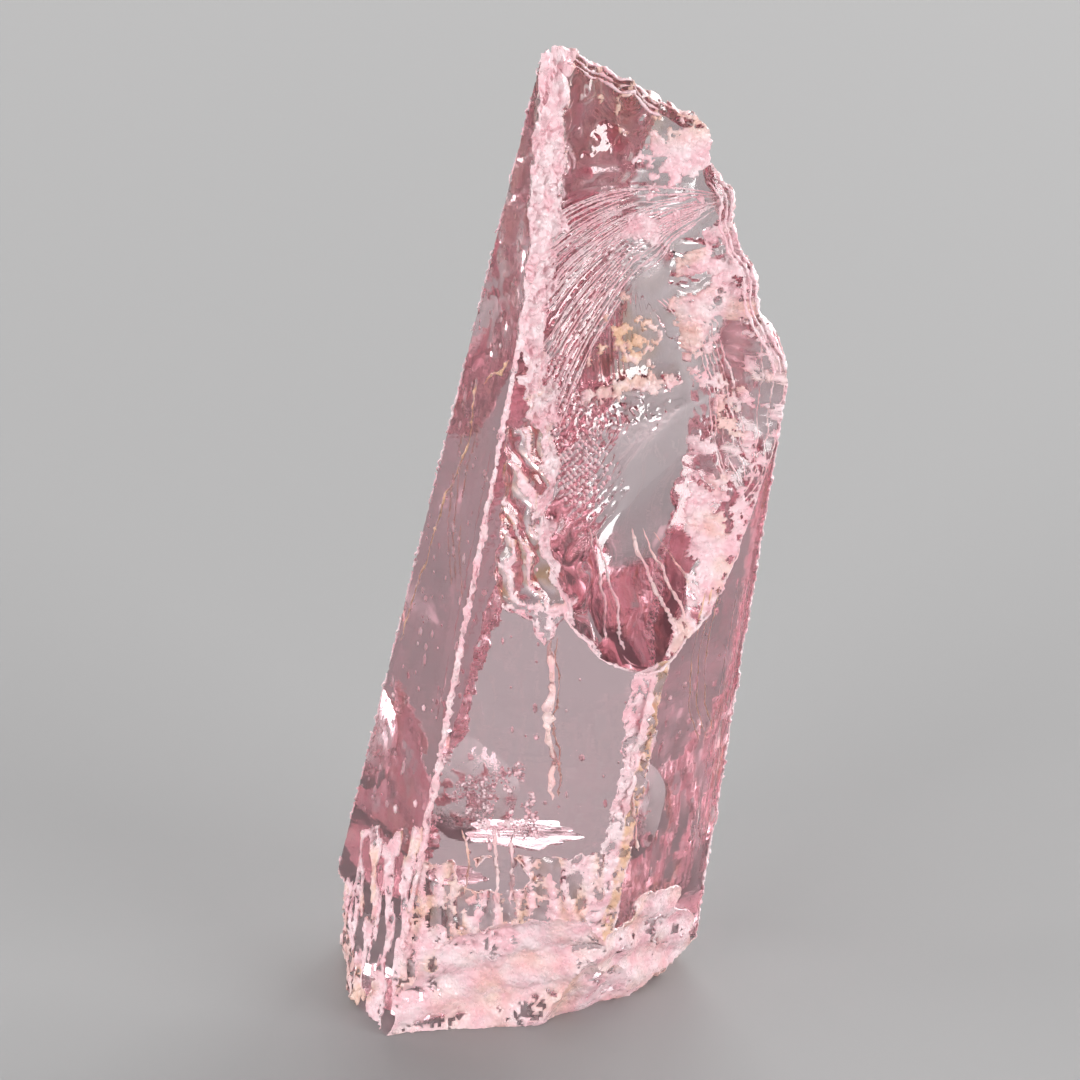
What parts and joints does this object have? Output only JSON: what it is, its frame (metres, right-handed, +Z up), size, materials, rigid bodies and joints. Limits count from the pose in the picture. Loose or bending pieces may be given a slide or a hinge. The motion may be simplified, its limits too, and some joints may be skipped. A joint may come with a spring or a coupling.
{
  "type": "rough pink sapphire crystal",
  "caption": "Rough clear pink corundum crystal: a leaning six-sided prism with a shell-like broken head and a chipped foot that stands on a flat base.",
  "frame": {"origin": "middle of the crystal's bounding box at the height of its flat foot", "axes": "+Z up along the height of the crystal, +X towards its right as it is pictured, +Y towards its back"},
  "size_m": [0.0172, 0.0118, 0.0401],
  "materials": {
    "pink_sapphire": "clear on the crystal faces, frosted on the fractures"
  },
  "bodies": {
    "root": {"sapphire_crystal": "pink_sapphire"}
  },
  "joints": []
}
